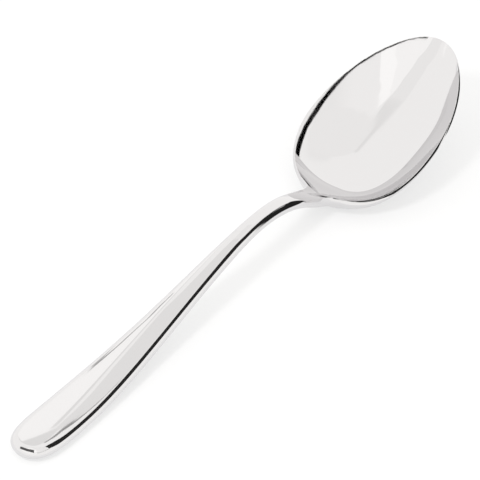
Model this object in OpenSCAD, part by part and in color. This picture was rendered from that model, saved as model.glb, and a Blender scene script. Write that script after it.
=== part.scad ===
// Tablespoon: a forged handle, a narrow arched neck and a pressed, egg-shaped bowl, lying on a table.
// X runs from the handle's end to the bowl's tip, Z is up, and the table is at Z = 0. All sizes are in mm.

/* [Handle] */
// Length of the handle, from its round end to the neck
handle_len = 94; // [85:1:120]
// Length over which the end rounds off in plan
end_round = 21; // [14:0.5:23]
// Fullness of the round end: a higher power is blunter
end_power = 4.9; // [3:0.1:7]
// Widest place of the handle, from its end
palm_at = 24; // [22:1:30]
// Width of the handle at its widest place
palm_w = 15.4; // [12:0.1:20]
// Thickness of the handle at its widest place
palm_t = 4.8; // [3:0.1:6]
// Height of the handle's middle at its end, above the table
end_z = 2.7; // [2:0.1:4]
// Height of the handle's middle at its widest place, above the table
palm_z = 2.6; // [2:0.1:4]
// Place of the grip's middle, from the handle's end
grip_at = 55; // [45:1:65]
// Width of the grip at its middle
grip_w = 11.4; // [8:0.1:15]
// Thickness of the grip at its middle
grip_t = 5.2; // [3:0.1:6]
// Height of the grip's middle above the table
grip_z = 6.5; // [4:0.1:10]
// Width of the handle where it meets the neck
stem_w = 6.6; // [5:0.1:9]
// Thickness of the handle where it meets the neck
stem_t = 5; // [3:0.1:5.6]
// Height of the spine above the table where the handle meets the neck
stem_z = 14.6; // [10:0.1:20]
// Width of the rounded edge along the handle and the neck
edge_round = 3.2; // [1.5:0.1:4]
// Share of the thickness that the crowned faces lose from their middle to their edges
crown = 0.25; // [0:0.01:0.5]

/* [Neck] */
// Length of the neck, from the handle to the bowl
neck_len = 32; // [24:1:40]
// Place of the arch's top, from where the neck starts
arch_at = 11; // [8:0.5:18]
// Height of the spine at the arch's top, above the table
arch_z = 16; // [11:0.1:22]
// Width of the neck at the arch's top
neck_w = 5.9; // [5:0.1:8]
// Thickness of the neck at the arch's top
neck_t = 5; // [2.5:0.1:5.6]
// Width of the neck where it runs into the bowl
root_w = 6.8; // [5:0.1:9]
// Thickness of the neck where it runs into the bowl
root_t = 4.2; // [2.5:0.1:5]
// Height of the spine above the table where the neck runs into the bowl
root_z = 12; // [9:0.1:16]

/* [Bowl] */
// Length of the bowl's root, from the neck to the back of the egg outline
root_len = 12; // [9:0.5:16]
// Length of the egg outline, from its back to its widest place
heel_len = 26; // [20:0.5:34]
// Length of the egg outline, from its widest place to the tip
tip_len = 36; // [28:0.5:46]
// Width of the bowl over its rim
bowl_w = 44.8; // [36:0.1:54]
// Fullness of the egg's back: a higher power is blunter
heel_power = 2.2; // [1.8:0.1:3]
// Share by which the egg narrows towards its tip
tip_taper = 0.2; // [0:0.01:0.4]
// How late that narrowing sets in: a higher power keeps the sides fuller
tip_power = 2.6; // [1.5:0.1:4]
// Size of the concave shoulder between the neck and the egg
shoulder = 7; // [4:0.1:10]
// Thickness of the bowl's wall
wall_t = 1.5; // [1:0.1:2.5]
// Width of the land that is ground along the rim, square to the wall
rim_land = 0.56; // [0.4:0.02:0.8]
// Fullness of the bowl's cross section: a higher power has steeper sides and a flatter floor
side_power = 2.36; // [2:0.02:3]
// Fullness of the cross section at the bowl's tip
nose_power = 2.1; // [2:0.02:2.6]

/* [Bowl side view] */
// Lowest place of the rim, from the back of the egg outline
dip_at = 1.4; // [0:0.1:6]
// Height of the rim at its lowest place, above the table
dip_z = 6.1; // [4:0.1:9]
// Place where the rim has begun to rise, from the back of the egg outline
rise_at = 14; // [10:0.5:18]
// Height of the rim there, above the table
rise_z = 9.9; // [7:0.1:14]
// Place of the rim's fore stretch, from the bowl's widest place
fore_at = 12; // [8:0.5:18]
// Height of the rim there, above the table
fore_z = 19.1; // [15:0.1:24]
// Height of the rim at the tip, above the table
tip_z = 29.3; // [22:0.1:36]
// Height of the bowl's underside above the table, at the back of the egg outline
heel_z = 3.3; // [2:0.1:4]
// Place where the bowl rests on the table, from the back of the egg outline
rest_at = 10; // [8.5:0.5:13]
// Height of the bowl's underside above the table, at its widest place
keel_z = 4; // [2.5:0.1:6]
// Place of the underside's fore stretch, from the bowl's widest place
prow_at = 18; // [12:0.5:22]
// Height of the underside there, above the table
prow_z = 12.4; // [10:0.1:15]
// Place of the underside's last stretch, from the bowl's widest place
brow_at = 32; // [28:0.5:33]
// Height of the underside there, above the table
brow_z = 22.9; // [20:0.1:24.5]

/* [Smoothness] */
// Cross sections along the handle
handle_steps = 34; // [20:1:44]
// Cross sections along the neck
neck_steps = 16; // [8:1:24]
// Cross sections along the bowl
bowl_steps = 58; // [36:1:70]
// Points across one face of a cross section
face_steps = 28; // [16:2:32]

/* [Hidden] */

steel = [0.86, 0.87, 0.88];
// Power of the edge rounding: above 2, so that the rounding starts without a jump in curvature
round_power = 2.4;
// Power of the ground rim: little above 1, so that its land is almost flat
land_power = 1.1;
// How strongly the points across a face crowd towards its two edges
edge_crowding = 0.5;
// Half the distance over which slopes are measured
slope_step = 0.01;
// Steepest slope for which the wall is thickened to keep its true thickness
slope_limit = 2;
// Smallest squared width, which keeps divisions clear of zero
least_sq = 0.000001;

neck_x = handle_len;
arch_x = neck_x + arch_at;
bowl_x = neck_x + neck_len;
press_x = bowl_x - root_len / 2;
egg_x = bowl_x + root_len;
dip_x = egg_x + dip_at;
rise_x = egg_x + rise_at;
wide_x = egg_x + heel_len;
total_len = wide_x + tip_len;

// Natural cubic spline: the forward sweep and the back substitution of its three-term equations
function swept(knots, i = 1, rows = [[0, 0]]) =
    i == len(knots) - 1 ? rows :
    let (
        before = knots[i][0] - knots[i - 1][0],
        after = knots[i + 1][0] - knots[i][0],
        rise_after = (knots[i + 1][1] - knots[i][1]) / after,
        rise_before = (knots[i][1] - knots[i - 1][1]) / before,
        pivot = 2 * (before + after) - before * rows[i - 1][0],
        rest = 6 * (rise_after - rise_before) - before * rows[i - 1][1]
    )
    swept(knots, i + 1, concat(rows, [[after / pivot, rest / pivot]]));
function bends(rows, i, tail = [0]) =
    i == 0 ? concat([0], tail) :
    bends(rows, i - 1, concat([rows[i][1] - rows[i][0] * tail[0]], tail));
function curve(knots) = [knots, bends(swept(knots), len(knots) - 2)];
function span(knots, x, i = 0) =
    i == len(knots) - 2 || x < knots[i + 1][0] ? i : span(knots, x, i + 1);
function at(line, x) =
    let (
        i = span(line[0], x),
        from = line[0][i],
        to = line[0][i + 1],
        width = to[0] - from[0],
        a = (to[0] - x) / width,
        b = 1 - a,
        bend = (a ^ 3 - a) * line[1][i] + (b ^ 3 - b) * line[1][i + 1]
    )
    a * from[1] + b * to[1] + bend * width ^ 2 / 6;

function limited(value, low, high) = min(max(value, low), high);
// Smooth step from 0 to 1, level in slope and in curvature at both ends
function ease(t) = let (c = limited(t, 0, 1)) c ^ 3 * (10 - 15 * c + 6 * c ^ 2);
// The larger of two values, with the corner between them filleted
function larger(a, b, fillet) = (a + b + sqrt((a - b) ^ 2 + fillet ^ 2)) / 2;

// Side view: the spine of the handle and the neck, which runs on as the rim of the bowl
spine = curve([
    [0, end_z], [palm_at, palm_z], [grip_at, grip_z], [neck_x, stem_z], [arch_x, arch_z], [bowl_x, root_z],
    [dip_x, dip_z], [rise_x, rise_z], [wide_x + fore_at, fore_z], [total_len, tip_z]
]);
// Side view: the underside of the bowl
belly = curve([
    [bowl_x, root_z - root_t / 2], [egg_x, heel_z], [egg_x + rest_at, 0], [wide_x, keel_z],
    [wide_x + prow_at, prow_z], [wide_x + brow_at, brow_z], [total_len, tip_z - wall_t / 2]
]);
// Plan view: half the width of the handle and the neck, which runs on under the bowl
grip_line = curve([
    [0, palm_w / 2], [palm_at, palm_w / 2], [grip_at, grip_w / 2], [neck_x, stem_w / 2],
    [arch_x, neck_w / 2], [bowl_x, root_w / 2], [wide_x, root_w / 2]
]);
// Half the thickness of the metal at the middle of each cross section
half_thick = curve([
    [0, palm_t / 2], [palm_at, palm_t / 2], [grip_at, grip_t / 2], [neck_x, stem_t / 2], [arch_x, neck_t / 2],
    [bowl_x, root_t / 2], [rise_x, wall_t / 2], [wide_x, wall_t / 2], [total_len, wall_t / 2]
]);

// Squared half widths: the egg of the bowl, the grip with its round end, and the two joined by the shoulder
function egg_back(x) = max(0, (wide_x - x) / heel_len);
function egg_front(x) = limited((x - wide_x) / tip_len, 0, 1);
function egg_sq(x) =
    (bowl_w / 2) ^ 2 * (x < wide_x
        ? 1 - egg_back(x) ^ heel_power
        : (1 - egg_front(x) ^ 2) * (1 - tip_taper * egg_front(x) ^ tip_power));
function grip_sq(x) = at(grip_line, x) ^ 2 * (1 - limited(1 - x / end_round, 0, 1) ^ end_power);
function width_sq(x) =
    x < wide_x ? larger(grip_sq(x), egg_sq(x), shoulder ^ 2 * ease(egg_back(x))) : egg_sq(x);

// Depth of the dish below the rim line, which grows from nothing at the neck
function dish(x) =
    let (grown = ease((x - bowl_x) / (dip_x - bowl_x)))
    grown == 0 ? 0 : grown * (at(spine, x) - at(half_thick, x) - at(belly, x));
// How far the cross section has turned from a forged bar into a pressed wall
function pressed(x) = ease((x - press_x) / (dip_x - press_x));
// Power of the cross section: plain at the back of the egg, full once the rim has begun to rise
fullness = curve([[egg_x, 2], [rise_x, side_power], [wide_x + fore_at, side_power], [total_len, nose_power]]);
function section_power(x) = at(fullness, max(x, egg_x));

// One cross section as [middle line, half thickness measured upright] at each share u of the half width
function station(x, shares) =
    let (
        half_sq = max(width_sq(x), least_sq),
        half_w = sqrt(half_sq),
        half_sq_slope = (width_sq(x + slope_step) - width_sq(x - slope_step)) / (4 * slope_step),
        deep = dish(x),
        deep_slope = (dish(x + slope_step) - dish(x - slope_step)) / (2 * slope_step),
        spine_slope = (at(spine, x + slope_step) - at(spine, x - slope_step)) / (2 * slope_step),
        wall = pressed(x),
        power = section_power(x)
    )
    [for (u = shares)
        let (
            y = half_w * u,
            side = abs(u) ^ power,
            slope_y = deep * power * abs(u) ^ (power - 1) / half_w,
            slope_x = spine_slope - deep_slope * (1 - side) - deep * power * side * half_sq_slope / half_sq,
            inset = (half_sq - y ^ 2) / (2 * sqrt(half_sq_slope ^ 2 + y ^ 2 + least_sq)),
            rolled = sqrt(1 - limited(1 - inset / edge_round, 0, 1) ^ round_power),
            ground = 1 - limited(1 - inset / rim_land, 0, 1) ^ land_power,
            edge = rolled * (1 - wall) + ground * wall,
            domed = 1 - crown * (1 - wall) * u ^ 2,
            steep = sqrt(1 + wall * min(slope_x ^ 2 + slope_y ^ 2, slope_limit ^ 2))
        )
        [y, at(spine, x) - deep * (1 - side), at(half_thick, x) * edge * domed * steep]];

// A closed ring of points: across the top face, then back across the underside
shares = [for (i = [0 : face_steps])
    let (turn = 360 * i / face_steps)
    cos(turn / 2 - edge_crowding * sin(turn) * 90 / PI)];
function ring(x) =
    let (row = station(x, shares))
    concat(
        [for (i = [0 : face_steps]) [x, row[i][0], row[i][1] + row[i][2]]],
        [for (i = [face_steps - 1 : -1 : 1]) [x, row[i][0], row[i][1] - row[i][2]]]
    );
ring_size = 2 * face_steps;

// A closed skin over a run of stations, with a flat face or a single point at each end
module skin(stations, start_point, end_point) {
    rings = [for (x = stations) each ring(x)];
    last = len(stations) - 1;
    tips = concat(start_point, end_point);
    start_tip = len(rings);
    end_tip = start_tip + len(start_point);
    sides = [for (k = [0 : last - 1], j = [0 : ring_size - 1])
        let (
            a = k * ring_size + j,
            b = k * ring_size + (j + 1) % ring_size
        )
        each [[a, b, a + ring_size], [b, b + ring_size, a + ring_size]]];
    start_face = len(start_point) > 0
        ? [for (j = [0 : ring_size - 1]) [start_tip, (j + 1) % ring_size, j]]
        : [[for (j = [ring_size - 1 : -1 : 0]) j]];
    end_face = len(end_point) > 0
        ? [for (j = [0 : ring_size - 1])
            [end_tip, last * ring_size + j, last * ring_size + (j + 1) % ring_size]]
        : [[for (j = [0 : ring_size - 1]) last * ring_size + j]];
    placed() polyhedron(concat(rings, tips), concat(sides, start_face, end_face));
}

// The spoon stands with the middle of its box over the origin and its lowest point on the table
handle_stations = [for (i = [1 : handle_steps]) handle_len * (1 - cos(90 * i / handle_steps))];
neck_stations = [for (i = [0 : neck_steps]) neck_x + neck_len * i / neck_steps];
bowl_stations = [for (i = [0 : bowl_steps - 1]) bowl_x + (total_len - bowl_x) * sin(90 * i / bowl_steps)];
function underside(x) = at(spine, x) - dish(x) - at(half_thick, x);
table_z = min([for (x = concat(handle_stations, neck_stations, bowl_stations)) underside(x)]);
module placed() {
    translate([-total_len / 2, 0, -table_z]) children();
}

// Forged grip with a round end, crowned on both faces
module handle() {
    color(steel) skin(handle_stations, [[0, 0, end_z]], []);
}

// Narrow arched waist between the grip and the bowl
module neck() {
    color(steel) skin(neck_stations, [], []);
}

// Pressed dish with a ground rim, from the neck's root to the tip
module bowl() {
    color(steel) skin(bowl_stations, [], [[total_len, 0, tip_z]]);
}

handle();
neck();
bowl();
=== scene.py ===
import math

import bpy
import numpy as np
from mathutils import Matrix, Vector


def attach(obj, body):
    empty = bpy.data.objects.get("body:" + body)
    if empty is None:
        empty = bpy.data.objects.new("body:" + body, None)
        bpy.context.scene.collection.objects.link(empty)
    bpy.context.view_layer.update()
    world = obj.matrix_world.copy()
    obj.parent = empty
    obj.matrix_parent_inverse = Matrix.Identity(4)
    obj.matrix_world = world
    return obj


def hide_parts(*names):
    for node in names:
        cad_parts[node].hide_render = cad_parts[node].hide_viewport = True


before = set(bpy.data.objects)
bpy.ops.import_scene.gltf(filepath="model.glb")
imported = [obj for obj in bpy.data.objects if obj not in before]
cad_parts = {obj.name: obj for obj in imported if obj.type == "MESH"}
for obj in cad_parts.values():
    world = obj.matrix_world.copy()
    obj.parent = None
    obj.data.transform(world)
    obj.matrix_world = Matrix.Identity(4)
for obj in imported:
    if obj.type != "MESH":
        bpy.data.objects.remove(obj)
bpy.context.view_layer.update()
scene = bpy.context.scene

# Forging. The spoon is one strip of 18/10 stainless steel: it is rolled thin for the bowl and left thick
# for the handle, cut to its outline, pressed between two dies and polished all over.
# Its side view, outline and thickness are in mm, from the handle's end, with Z above the table.
MM = 0.001
palm_x, grip_x, neck_x, arch_x, press_x, bowl_x = 24, 55, 94, 105, 120, 126
egg_x, dip_x, rest_x, rise_x, wide_x = 138, 139.4, 148, 152, 164
fore_x, prow_x, brow_x, total_len = 176, 182, 196, 200
end_z, palm_z, grip_z, stem_z, arch_z, root_z = 2.7, 2.6, 6.5, 14.6, 16.0, 12.0
# The tip is 0.1 mm lower than the solid's, because this finer mesh reaches further up at its rim
dip_z, rise_z, fore_z, tip_z = 6.1, 9.9, 19.1, 29.2
heel_z, rest_z, keel_z, prow_z, brow_z = 3.3, 0.0, 4.0, 12.4, 22.9
palm_w, grip_w, stem_w, neck_w, root_w, bowl_w = 15.4, 11.4, 6.6, 5.9, 6.8, 44.8
palm_t, grip_t, stem_t, neck_t, root_t, wall_t = 4.8, 5.2, 5.0, 5.0, 4.2, 1.5


def curve(*knots):
    """The natural cubic spline through knots of (place, value), as a function of the place."""
    place, value = np.array(knots, float).T
    gap = np.diff(place)
    corner = np.diff(np.diff(value) / gap)
    rows = np.diag(2 * (gap[:-1] + gap[1:])) + np.diag(gap[1:-1], 1) + np.diag(gap[1:-1], -1)
    bend = np.concatenate([[0], np.linalg.solve(rows, 6 * corner), [0]])

    def at(x):
        i = np.clip(np.searchsorted(place, x, side="right") - 1, 0, len(gap) - 1)
        a = (place[i + 1] - x) / gap[i]
        b = 1 - a
        bent = (a**3 - a) * bend[i] + (b**3 - b) * bend[i + 1]
        return a * value[i] + b * value[i + 1] + bent * gap[i] ** 2 / 6

    return at


def ease(t):
    """A smooth step from 0 to 1, level in slope and in curvature at both ends."""
    t = np.clip(t, 0, 1)
    return t**3 * (10 - 15 * t + 6 * t**2)


spine = curve(
    (0, end_z), (palm_x, palm_z), (grip_x, grip_z), (neck_x, stem_z), (arch_x, arch_z),
    (bowl_x, root_z), (dip_x, dip_z), (rise_x, rise_z), (fore_x, fore_z), (total_len, tip_z),
)
belly = curve(
    (bowl_x, root_z - root_t / 2), (egg_x, heel_z), (rest_x, rest_z), (wide_x, keel_z),
    (prow_x, prow_z), (brow_x, brow_z), (total_len, tip_z - wall_t / 2),
)
# Powers of the bowl's cross section: a plain parabola at the back, fuller along its sides
heel_side, full_side, nose_side = 2, 2.36, 2.1
fullness = curve((egg_x, heel_side), (rise_x, full_side), (fore_x, full_side), (total_len, nose_side))
grip_line = curve(
    (0, palm_w / 2), (palm_x, palm_w / 2), (grip_x, grip_w / 2), (neck_x, stem_w / 2),
    (arch_x, neck_w / 2), (bowl_x, root_w / 2), (wide_x, root_w / 2),
)
half_thick = curve(
    (0, palm_t / 2), (palm_x, palm_t / 2), (grip_x, grip_t / 2), (neck_x, stem_t / 2),
    (arch_x, neck_t / 2), (bowl_x, root_t / 2), (rise_x, wall_t / 2), (wide_x, wall_t / 2),
    (total_len, wall_t / 2),
)
end_round, end_power = 21, 4.9
heel_len, tip_len = wide_x - egg_x, total_len - wide_x
heel_power, tip_taper, tip_power, shoulder = 2.2, 0.2, 2.6, 7
edge_round, round_power, rim_land, land_power = 3.2, 2.4, 0.56, 1.1
crown = 0.25
# Steps for slopes and normals, the steepest wall that is thickened for its slope, and the least width
slope_step, normal_step, slope_limit, least_sq = 0.01, 0.001, 2, 1e-6


def egg_share(x):
    """How far x lies behind and before the bowl's widest place, as shares of the egg's two ends."""
    return np.maximum(0, (wide_x - x) / heel_len), np.clip((x - wide_x) / tip_len, 0, 1)


def width_sq(x):
    """The outline's squared half width: the bowl's egg and the grip, joined by a filleted shoulder."""
    back, front = egg_share(x)
    egg = (bowl_w / 2) ** 2 * np.where(
        x < wide_x, 1 - back**heel_power, (1 - front**2) * (1 - tip_taper * front**tip_power)
    )
    round_off = 1 - np.clip(1 - x / end_round, 0, 1) ** end_power
    grip = grip_line(np.minimum(x, wide_x)) ** 2 * round_off
    joined = (grip + egg + np.sqrt((grip - egg) ** 2 + shoulder**4 * ease(back) ** 2)) / 2
    return np.where(x < wide_x, joined, egg)


def dish(x):
    """The depth of the bowl below its rim line, which grows from nothing at the neck."""
    grown = ease((x - bowl_x) / (dip_x - bowl_x))
    return grown * (spine(x) - half_thick(x) - belly(np.maximum(x, bowl_x)))


def slope(line, x):
    return (line(x + slope_step) - line(x - slope_step)) / (2 * slope_step)


def section(x, y):
    """The middle of the metal at (x, y), half its upright thickness, and the share that its edge keeps."""
    half_sq = np.maximum(width_sq(x), least_sq)
    half_sq_slope = slope(width_sq, x) / 2
    deep = dish(x)
    pressed = ease((x - press_x) / (dip_x - press_x))
    power = fullness(np.maximum(x, egg_x))
    u = np.sqrt(y**2 / half_sq)
    side = u**power
    slope_y = deep * power * u ** (power - 1) / np.sqrt(half_sq)
    slope_x = slope(spine, x) - slope(dish, x) * (1 - side) - deep * power * side * half_sq_slope / half_sq
    inset = (half_sq - y**2) / (2 * np.sqrt(half_sq_slope**2 + y**2 + least_sq))
    rolled = np.sqrt(np.maximum(0, 1 - np.maximum(0, 1 - inset / edge_round) ** round_power))
    ground = np.maximum(0, 1 - np.maximum(0, 1 - inset / rim_land) ** land_power)
    edge = rolled * (1 - pressed) + ground * pressed
    domed = 1 - crown * (1 - pressed) * u**2
    steep = np.sqrt(1 + pressed * np.minimum(slope_x**2 + slope_y**2, slope_limit**2))
    return spine(x) - deep * (1 - side), half_thick(x) * domed * steep, edge


def skin(x, y, z):
    """Zero on the spoon's surface, negative in the metal and positive outside it."""
    middle, half, edge = section(x, y)
    return np.abs(z - middle) / half - edge


def lofted(name, stations, across, crowding, start=None, end=None):
    """A closed mesh over cross sections, flat or pointed at each end, with the true surface's normals."""
    t = np.linspace(0, 1, across + 1)
    u = np.cos(np.pi * (t - crowding * np.sin(2 * np.pi * t) / (2 * np.pi)))
    x = np.repeat(stations[:, None], across + 1, 1)
    y = np.sqrt(width_sq(x)) * u
    middle, half, edge = section(x, y)
    half = half * edge
    half[:, [0, -1]] = 0
    top = np.stack([x, y, middle + half], -1)
    low = np.stack([x, y, middle - half], -1)[:, -2:0:-1]
    points = np.concatenate([top, low], 1)
    count, ring = points.shape[:2]
    points = points.reshape(-1, 3)
    reach = np.eye(3) * normal_step
    normals = np.stack([skin(*(points + r).T) - skin(*(points - r).T) for r in reach], -1)
    i = np.arange((count - 1) * ring)
    j = i - i % ring + (i + 1) % ring
    faces = np.stack([i, j, j + ring, i + ring], -1).tolist()
    first, last = list(range(ring)), list(range((count - 1) * ring, count * ring))
    corners = []
    for tip, rim, facing in ((start, first[::-1], -1.0), (end, last, 1.0)):
        if tip is None:
            faces.append(rim)
            corners += [(facing, 0.0, 0.0)] * ring
        else:
            points = np.vstack([points, tip])
            normals = np.vstack([normals, (facing, 0.0, 0.0)])
            faces += [[len(points) - 1, a, b] for a, b in zip(rim, rim[1:] + rim[:1])]
            corners += [normals[v] for a, b in zip(rim, rim[1:] + rim[:1]) for v in (len(points) - 1, a, b)]
    sides = normals[np.array(faces[: (count - 1) * ring]).ravel()]
    corners = np.concatenate([sides, np.array(corners)])
    corners /= np.linalg.norm(corners, axis=1, keepdims=True)
    mesh = bpy.data.meshes.new(name)
    mesh.from_pydata(((points - (total_len / 2, 0, table_z)) * MM).tolist(), [], faces)
    mesh.shade_smooth()
    mesh.normals_split_custom_set(corners.tolist())
    piece = bpy.data.objects.new(name, mesh)
    scene.collection.objects.link(piece)
    return piece


def linear(hex_colour):
    """An sRGB hex colour as linear RGBA."""
    shares = [int(hex_colour[i : i + 2], 16) / 255 for i in (1, 3, 5)]
    return [c / 12.92 if c <= 0.04045 else ((c + 0.055) / 1.055) ** 2.4 for c in shares] + [1.0]


def add(tree, kind, inputs=(), **settings):
    """Adds a node with its settings, and sets or links its inputs."""
    node = tree.nodes.new("ShaderNode" + kind)
    for name, value in settings.items():
        setattr(node, name, value)
    for socket, value in dict(inputs).items():
        if isinstance(value, bpy.types.NodeSocket):
            tree.links.new(value, node.inputs[socket])
        else:
            node.inputs[socket].default_value = value
    return node


# Mirror-polished stainless steel: ground, then buffed with finer and finer paste, which leaves a clear
# mirror. It shows the room a little greyer than it is, with faint streaks where the wheel ran lengthwise.
polished_steel = bpy.data.materials.new("mirror_polished_stainless_steel")
polished_steel.use_nodes = True
tree = polished_steel.node_tree
shader = tree.nodes["Principled BSDF"]
shader.inputs["Base Color"].default_value = linear("#DEDDDE")
shader.inputs["Metallic"].default_value = 1.0
place = add(tree, "TexCoord").outputs["Object"]
# Buffing streaks are about 0.02 mm apart and are drawn 0.5 mm apart, so that they show at all
streak_w, streak_len = 0.5 * MM, 40 * MM
lengthwise = add(tree, "Mapping", {"Vector": place, "Scale": (1 / streak_len, 1 / streak_w, 1 / streak_w)})
streaks = add(tree, "TexNoise", {"Vector": lengthwise.outputs[0], "Scale": 1.0, "Detail": 3.0})
# Smudges from handling, about 9 mm across
smudge_w = 9 * MM
smudges = add(tree, "TexNoise", {"Vector": place, "Scale": 1 / smudge_w, "Detail": 4.0, "Roughness": 0.6})
streak_share, clear_rough, hazy_rough = 0.35, 0.03, 0.07
haze = add(tree, "Mix", {0: streak_share, 2: smudges.outputs["Fac"], 3: streaks.outputs["Fac"]})
gloss = add(tree, "MapRange", {
    "Value": haze.outputs[0], "From Min": 0.3, "From Max": 0.7, "To Min": clear_rough, "To Max": hazy_rough,
})
tree.links.new(gloss.outputs[0], shader.inputs["Roughness"])

# Handle. A thick, crowned bar with rounded edges and a full round end, near which it rests on the table.
# It is pressed from the thick end of the strip, so its faces stay whole and only its edges are rolled over.
underside_steps, underside_margin = 4000, 1
underside_x = np.linspace(underside_margin, total_len - underside_margin, underside_steps)
table_z = np.min(spine(underside_x) - dish(underside_x) - half_thick(underside_x))
handle_steps, handle_across, edge_crowding = 110, 72, 0.35
handle = lofted(
    "handle_forged",
    neck_x * (1 - np.cos(np.linspace(0, np.pi / 2, handle_steps + 1)[1:])),
    handle_across, edge_crowding,
    start=(0, 0, spine(0.0)),
)
handle.data.materials.append(polished_steel)
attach(handle, "root")
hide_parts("handle")

# Neck. The narrow waist that arches from the handle down to the bowl, drawn from the same bar.
# It is nearly round, because the metal that is squeezed out of its width goes into its thickness.
neck_steps, neck_across = 64, 72
neck = lofted("neck_drawn", np.linspace(neck_x, bowl_x, neck_steps + 1), neck_across, edge_crowding)
neck.data.materials.append(polished_steel)
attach(neck, "root")
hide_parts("neck")

# Bowl. The strip is rolled to an even wall, cut to an egg and pressed to a dish between a die and a punch.
# Its rim is ground to a narrow, almost flat land, and its back rests on the table.
bowl_steps, bowl_across, rim_crowding = 150, 108, 0.75
bowl = lofted(
    "bowl_pressed",
    bowl_x + (total_len - bowl_x) * np.sin(np.linspace(0, np.pi / 2, bowl_steps + 1)[:-1]),
    bowl_across, rim_crowding,
    end=(total_len, 0, tip_z),
)
bowl.data.materials.append(polished_steel)
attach(bowl, "root")
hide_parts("bowl")

# Floor. A flat sheet of white paper on the table, which reaches past the view on all sides.
# Pressed fibres have no gloss, so it gives the eye only soft shade, and the spoon's underside mirrors it.
floor_half = 3.0
floor_mesh = bpy.data.meshes.new("floor")
floor_corners = [(x * floor_half, y * floor_half, 0) for x, y in ((-1, -1), (1, -1), (1, 1), (-1, 1))]
floor_mesh.from_pydata(floor_corners, [], [(0, 1, 2, 3)])
floor = bpy.data.objects.new("floor", floor_mesh)
scene.collection.objects.link(floor)
white_paper = bpy.data.materials.new("matt_white_paper")
white_paper.use_nodes = True
paper = white_paper.node_tree.nodes["Principled BSDF"]
paper.inputs["Base Color"].default_value = linear("#E9E9E9")
paper.inputs["Roughness"].default_value = 1.0
paper.inputs["Specular IOR Level"].default_value = 0.0
# It is lit from below as well, as the camera and the steel see it, so that its shadows stay faint
underlight = 0.6
tree = white_paper.node_tree
path = add(tree, "LightPath")
seen = path.outputs["Is Camera Ray"]
for kind in ("Is Glossy Ray", "Is Transmission Ray"):
    seen = add(tree, "Math", {0: seen, 1: path.outputs[kind]}, operation="MAXIMUM").outputs[0]
share = add(tree, "Math", {0: seen, 1: underlight}, operation="MULTIPLY")
glow = add(tree, "Emission", {"Color": linear("#FFFFFF"), "Strength": 1.0})
lit = add(tree, "MixShader", {0: share.outputs[0], 1: paper.outputs[0], 2: glow.outputs[0]})
tree.links.new(lit.outputs[0], tree.nodes["Material Output"].inputs["Surface"])
floor.data.materials.append(white_paper)

# Studio. A white tent of even light, a little dimmer towards the near right, with a low dark gap on that
# side, which the neck's flank mirrors as black. Angles are in degrees, azimuths from +X towards +Y.
tent_level = 1.15
# Each panel: the azimuth that it faces the spoon from, its two ends to the left and right of that azimuth,
# the slopes up to its lower and upper edge, the softness of its ends and of its edges, and its level
panels = (
    (-65, -35, 35, 40, 78, 12, 8, 1.09),
    (-32, -24, 22, 0, 21, 2, 1.0, 0.02),
)
world = bpy.data.worlds.new("studio_tent")
world.use_nodes = True
scene.world = world
tree = world.node_tree
tree.nodes.clear()
way = add(tree, "TexCoord").outputs["Generated"]
up = add(tree, "SeparateXYZ", {0: way}).outputs["Z"]
light = tent_level
for facing, left, right, low, high, soft_end, soft_edge, level in panels:
    turn = math.radians(facing)
    forwards, sideways = (math.cos(turn), math.sin(turn), 0), (-math.sin(turn), math.cos(turn), 0)
    ahead = add(tree, "VectorMath", {0: way, 1: forwards}, operation="DOT_PRODUCT").outputs["Value"]
    aside = add(tree, "VectorMath", {0: way, 1: sideways}, operation="DOT_PRODUCT").outputs["Value"]
    inside = 1.0
    for part, least, most, soft in ((aside, left, right, soft_end), (up, low, high, soft_edge)):
        centre, reach = math.radians(least + most) / 2, (most - least) / 2
        angle = add(tree, "Math", {0: part, 1: ahead}, operation="ARCTAN2")
        off = add(tree, "Math", {0: angle.outputs[0], 1: centre}, operation="SUBTRACT")
        distance = add(tree, "Math", {0: off.outputs[0]}, operation="ABSOLUTE")
        ramp = add(tree, "MapRange", {
            "Value": distance.outputs[0],
            "From Min": math.radians(reach + soft), "From Max": math.radians(reach - soft),
        }, interpolation_type="SMOOTHSTEP")
        inside = add(tree, "Math", {0: ramp.outputs[0], 1: inside}, operation="MULTIPLY").outputs[0]
    light = add(tree, "Mix", {0: inside, 2: light, 3: level}).outputs[0]
background = add(tree, "Background", {"Color": linear("#FFFEFC"), "Strength": light})
add(tree, "OutputWorld", {"Surface": background.outputs[0]})

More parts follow.
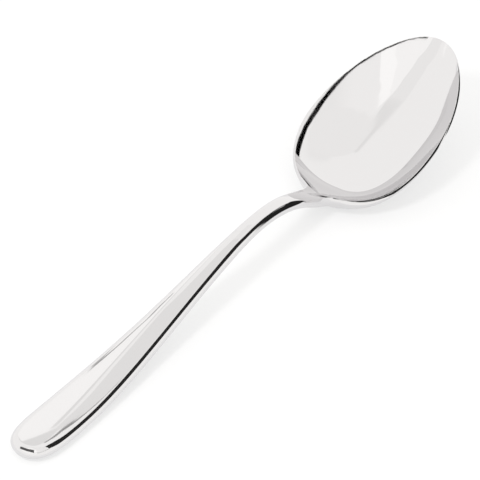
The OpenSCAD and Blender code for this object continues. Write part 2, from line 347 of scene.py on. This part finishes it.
# Cards. They hang level in the tent, and only the steel sees them: over the handle a grey felt with a hem,
# a clip and a white card, black felt for the dark lines on the handle, the neck and the bowl's far rim, and
# high over the bowl a grey flag, a thin gauze and a bright window.
# Each part: its name, its level, its height above the table and its corners, in mm
card_parts = (
    ("grey_felt", 1.0, 60, (
        (-48.5, 19), (-50, 21), (-51, 23), (-50, 26), (-48, 27), (-45, 26), (-40, 28), (-22, 32),
        (-15, 27.5), (-8, 25.5), (0, 24.5), (6, 24), (12, 21), (12, -18), (5, -30), (-20, -30),
        (-38, -24), (-44, -10), (-48.5, 5),
    )),
    ("grey_felt_fore", 1.07, 60, ((12, 21), (26, 22), (26, 6), (12, -18))),
    ("grey_felt_hem", 0.97, 60, (
        (-49, 28), (-40, 32), (-20, 37), (26, 44), (26, 46), (-20, 39.5), (-40, 34), (-50, 31),
    )),
    ("grey_felt_end", 0.97, 60, (
        (-64, 19), (-58, 20), (-51, 23), (-50, 26), (-53, 36), (-54, 60), (-62, 60),
    )),
    ("grey_clip", 0.4, 60, (
        (-36, 55), (-34, 52.2), (-30, 50), (-26, 48.8), (-22, 46), (-17, 46.5), (-12, 45.3),
        (-12, 47.6), (-17, 49.6), (-22.5, 48.4), (-26.5, 51.3), (-30.4, 52.6), (-34, 55.5),
    )),
    ("grey_clip_arm", 0.6, 61, ((-35.3, 54.6), (-34, 55.5), (-33, 55), (-9, 104), (-15, 104))),
    ("white_card", 1.23, 62, (
        (-52, 30), (-40, 33), (-20, 38), (24, 44), (24, 80), (-52, 80),
    )),
    ("black_felt_seam", 0.35, 60, (
        (-58, 20), (-58, 18.5), (-51, 18.5), (-50, 5), (-47.5, -8), (-40, -20),
        (-39, -20), (-46, -7), (-48.5, 5), (-48.5, 19), (-50, 21),
    )),
    ("black_felt", 0.02, 60, (
        (-78, -22), (-70, -17), (-62, -18), (-55, -25), (-49, -29), (-44, -31), (-38, -30), (-30, -33),
        (-21, -36), (-10, -37), (2, -37), (10, -35), (16, -35), (22, -41), (30, -49), (38, -51), (52, -55),
        (62, -62), (132, -62), (132, -95), (105, -141), (82, -126), (70, -120), (50, -100), (0, -90),
        (-20, -88), (-50, -85), (-78, -60),
    )),
    ("black_felt_strip", 0.0, 200, (
        (530, -180), (405, -221), (301, -257), (220, -265), (151, -251), (112, -236), (90, -220),
        (67, -211), (41, -202), (5, -202), (-39, -215), (-88, -233), (-144, -242), (-210, -230),
        (-260, -184), (-277, -97), (-270, 12), (-261, 15), (-268, -96), (-249, -176), (-199, -213),
        (-136, -228), (-81, -219), (-35, -201), (6, -190), (38, -185), (61, -187), (79, -195), (97, -203),
        (124, -214), (178, -225), (241, -214), (323, -187), (474, -143),
    )),
    ("grey_flag", 1.09, 1000, (
        (-2600, 760), (-1890, 420), (-1150, 20), (-410, -5), (-155, 72), (-120, 94), (-52, 440),
        (-155, 431), (-437, 464), (-1040, 669), (-1930, 1306), (-2600, 1800),
    )),
    ("grey_flag_end", 1.0, 1000, (
        (-120, 94), (-90, 158), (-73, 247), (-62, 296), (-36, 233), (-38, 294), (-54, 363), (-54, 402),
        (-52, 440),
    )),
    ("grey_gauze", 1.1, 1010, (
        (-36, 233), (-58, 287), (-64, 289), (-78, 219), (-92, 141), (-114, -94), (-98, -411), (-10, -719),
        (149, -989), (361, -1135), (656, -1130), (918, -938), (670, -610), (323, -307), (70, 27),
    )),
    ("bright_window", 1.29, 1000, (
        (-112, 61), (-167, -146), (-294, -440), (-463, -686), (-626, -889), (-835, -1131), (-1250, -1600),
        (-1600, -1350), (-1000, -870), (-789, -561), (-425, -301), (-178, -44), (-122, 76),
    )),
    ("bright_window_side", 1.225, 1000, (
        (-122, 76), (-178, -44), (-425, -301), (-789, -561), (-1000, -870), (-1600, -1350), (-2600, -1200),
        (-3000, 200), (-2600, 760), (-1890, 420), (-1150, 20), (-410, -5), (-155, 72),
    )),
    ("black_felt_tag", 0.12, 60, (
        (-132, 37), (-123, 20), (-121, 7), (-119, -5), (-113, -13), (-109, -22),
        (-147, -52), (-146, -32), (-158, -21), (-165, -4), (-170, 16), (-182, 49),
    )),
)
for name, level, card_z, corners in card_parts:
    card_mesh = bpy.data.meshes.new(name)
    card_mesh.from_pydata([(x * MM, y * MM, card_z * MM) for x, y in corners], [], [range(len(corners))])
    card = bpy.data.objects.new(name, card_mesh)
    card.visible_camera = card.visible_diffuse = card.visible_shadow = False
    scene.collection.objects.link(card)
    felt = bpy.data.materials.new(name)
    felt.use_nodes = True
    felt.node_tree.nodes.clear()
    glow = add(felt.node_tree, "Emission", {"Color": linear("#FFFEFC"), "Strength": level})
    add(felt.node_tree, "OutputMaterial", {"Surface": glow.outputs[0]})
    card_mesh.materials.append(felt)

# Lamp. A round soft box above the handle's end of the table, which gives the shadow its side.
# The steel doesn't see it, because a lamp behind the tent's cloth shows no outline of its own.
box_lamp = bpy.data.lights.new("soft_box", "AREA")
box_lamp.shape = "DISK"
box_lamp.size = 0.2
box_lamp.energy = 3.5
soft_box = bpy.data.objects.new("soft_box", box_lamp)
soft_box.location = (-0.62, 0.05, 0.86)
soft_box.rotation_mode = "QUATERNION"
soft_box.rotation_quaternion = (-soft_box.location).to_track_quat("-Z", "Y")
soft_box.visible_glossy = False
scene.collection.objects.link(soft_box)

# Camera. It looks down across the spoon from the handle's right side, as in the photograph, with a long
# lens. Its angles are in degrees and its distances in mm.
view_azimuth, view_elevation, view_distance = 50.84, 42, 867
target_x, target_z = 99.18, 14.59
view_target = Vector((target_x - total_len / 2, 0, target_z - table_z)) * MM
image_px, px_per_mm, sensor_w = 480, 3.341, 36
lens = bpy.data.cameras.new("camera")
lens.sensor_width = sensor_w
lens.lens = sensor_w * px_per_mm * view_distance / image_px
lens.clip_start, lens.clip_end = 0.01, 20
camera = bpy.data.objects.new("camera", lens)
az, el = math.radians(view_azimuth), math.radians(view_elevation)
towards = Vector((-math.sin(az) * math.cos(el), -math.cos(az) * math.cos(el), math.sin(el)))
camera.location = view_target + towards * view_distance * MM
camera.rotation_mode = "QUATERNION"
camera.rotation_quaternion = (-towards).to_track_quat("-Z", "Y")
scene.collection.objects.link(camera)
scene.camera = camera
scene.view_settings.view_transform = "Standard"
